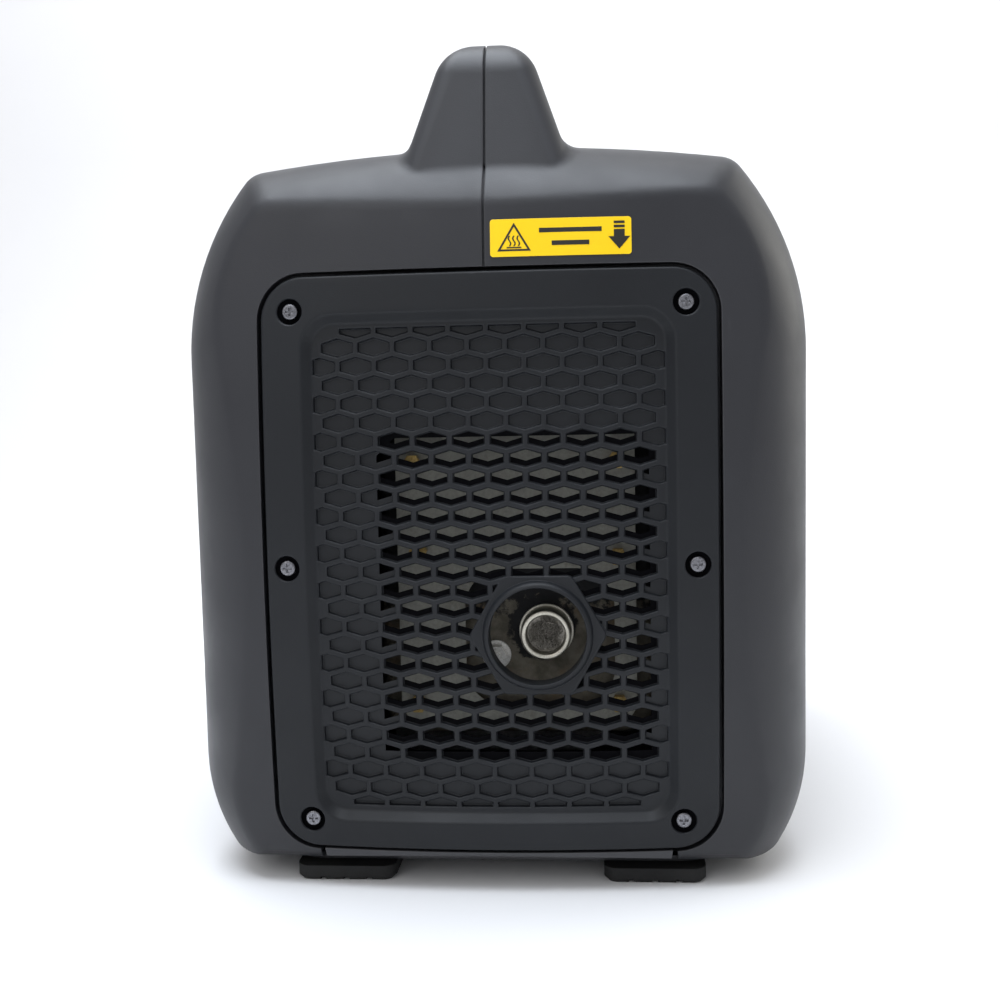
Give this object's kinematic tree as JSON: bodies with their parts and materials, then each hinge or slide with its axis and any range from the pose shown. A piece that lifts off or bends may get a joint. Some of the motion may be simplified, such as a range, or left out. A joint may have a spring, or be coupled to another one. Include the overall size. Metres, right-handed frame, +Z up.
{
  "type": "portable inverter generator",
  "caption": "Suitcase-style portable inverter generator with a carrying handle, honeycomb exhaust grille, exhaust tip, pull-start engine and a panel of outlets.",
  "frame": {"origin": "centre of the footprint, on the floor under the rubber feet", "axes": "+X to the right seen from the exhaust end, -Y out of the exhaust end, +Y out of the control end, +Z up"},
  "size_m": [0.323, 0.44, 0.428],
  "materials": {
    "charcoal_plastic": "fine satin texture",
    "black_plastic": "satin",
    "grey_plastic": "satin",
    "red_plastic": "gloss",
    "lens_plastic": "gloss",
    "yellow_label": "smooth printed plate",
    "black_rubber": "matt",
    "screw_steel": "dark zinc",
    "steel": "machined",
    "bright_steel": "satin",
    "sooted_steel": "heat stained",
    "aluminium": "as cast",
    "cast_iron": "as cast",
    "brass": "plain",
    "copper": "enamelled winding",
    "mesh_steel": "wire mesh",
    "foam": "open foam",
    "rope": "braided"
  },
  "bodies": {
    "casing": {"left_shell": "charcoal_plastic", "right_shell": "charcoal_plastic", "exhaust_cover": "charcoal_plastic", "casing_screws": "screw_steel", "caution_plate": "yellow_label", "control_panel": "charcoal_plastic", "base_tray": "black_plastic", "rubber_feet": "black_rubber", "engine_mounts": "black_rubber", "crankcase": "aluminium", "crankcase_cover": "aluminium", "main_bearings": "steel", "cylinder": "cast_iron", "cylinder_head": "aluminium", "valve_cover": "aluminium", "spark_plug": "steel", "spark_plug_lead": "black_rubber", "ignition_coil": "black_plastic", "carburettor": "aluminium", "air_box": "black_plastic", "air_filter": "foam", "air_box_cover": "black_plastic", "stator": "copper", "fan_shroud": "black_plastic", "recoil_housing": "black_plastic", "recoil_rope_run": "rope", "recoil_spring": "steel", "muffler": "sooted_steel", "exhaust_tip": "bright_steel", "spark_arrestor": "mesh_steel", "muffler_shield": "sooted_steel", "muffler_bolts": "brass", "fuel_tank": "black_plastic", "fuel_hose": "black_rubber", "inverter_module": "aluminium", "ac_sockets": "black_plastic", "socket_hinges": "steel", "status_lamps": "lens_plastic", "dc_usb_outlet": "black_plastic", "ground_terminal": "brass"},
    "door": {"service_door": "charcoal_plastic"},
    "latch": {"door_latch": "black_plastic"},
    "grip": {"recoil_grip": "black_rubber"},
    "pulley": {"recoil_pulley": "grey_plastic", "recoil_rope_coil": "rope"},
    "crank": {"crankshaft": "steel", "rotor": "steel", "cooling_fan": "black_plastic", "starter_cup": "steel"},
    "cam": {"camshaft": "steel"},
    "piston": {"piston": "aluminium", "piston_pin": "steel"},
    "dipstick": {"oil_dipstick": "grey_plastic"},
    "cap": {"fuel_cap": "black_plastic"},
    "vent": {"cap_vent_lever": "grey_plastic"},
    "dial": {"engine_dial": "black_plastic"},
    "eco": {"eco_switch": "black_plastic"},
    "reset": {"reset_button": "red_plastic"},
    "flap_left": {"socket_cover_left": "black_plastic"},
    "flap_right": {"socket_cover_right": "black_plastic"}
  },
  "joints": [
    {"name": "door_hinge", "type": "hinge", "parent": "casing", "child": "door", "pos_m": [-0.1585, -0.02, 0.066], "axis": [0, -1, 0], "range_deg": [0, 20]},
    {"name": "latch_turn", "type": "hinge", "parent": "door", "child": "latch", "pos_m": [-0.1615, -0.02, 0.242], "axis": [1, 0, 0], "range_deg": [0, 90]},
    {"name": "grip_pull", "type": "slide", "parent": "casing", "child": "grip", "axis": [1, 0, 0], "range_m": [0, 0.45]},
    {"name": "pulley_spin", "type": "hinge", "parent": "casing", "child": "pulley", "pos_m": [0, 0.062, 0.112], "axis": [0, 1, 0], "range_deg": [0, 620]},
    {"name": "crank_spin", "type": "hinge", "parent": "casing", "child": "crank", "pos_m": [0, 0, 0.112], "axis": [0, 1, 0], "continuous": true},
    {"name": "cam_spin", "type": "hinge", "parent": "casing", "child": "cam", "pos_m": [-0.03197, 0, 0.09241], "axis": [0, 1, 0], "continuous": true},
    {"name": "piston_stroke", "type": "slide", "parent": "casing", "child": "piston", "axis": [0, 0, 1], "range_m": [0, 0.043]},
    {"name": "dipstick_turn", "type": "hinge", "parent": "casing", "child": "dipstick", "pos_m": [-0.066, -0.09, 0.069], "axis": [-1, 0, 0], "continuous": true},
    {"name": "cap_turn", "type": "hinge", "parent": "casing", "child": "cap", "pos_m": [0, 0.05, 0.36], "axis": [0, 0, 1], "range_deg": [0, 120]},
    {"name": "vent_turn", "type": "hinge", "parent": "cap", "child": "vent", "pos_m": [0, 0.05, 0.37], "axis": [0, 0, 1], "range_deg": [0, 90]},
    {"name": "dial_turn", "type": "hinge", "parent": "casing", "child": "dial", "pos_m": [-0.044, 0.206, 0.243], "axis": [0, 1, 0], "range_deg": [0, 100]},
    {"name": "eco_rock", "type": "hinge", "parent": "casing", "child": "eco", "pos_m": [0.02, 0.206, 0.259], "axis": [1, 0, 0], "range_deg": [0, 12]},
    {"name": "reset_press", "type": "slide", "parent": "casing", "child": "reset", "axis": [0, -1, 0], "range_m": [0, 0.002], "stiffness_N_per_m": 300},
    {"name": "flap_left_lift", "type": "hinge", "parent": "casing", "child": "flap_left", "pos_m": [-0.044, 0.21, 0.125], "axis": [1, 0, 0], "range_deg": [0, 110]},
    {"name": "flap_right_lift", "type": "hinge", "parent": "casing", "child": "flap_right", "pos_m": [0.008, 0.21, 0.125], "axis": [1, 0, 0], "range_deg": [0, 110]}
  ],
  "couplings": [
    {"joint": "pulley_spin", "follows": "grip_pull", "rad_per_m": 23.81},
    {"joint": "cam_spin", "follows": "crank_spin", "ratio": -0.5}
  ]
}
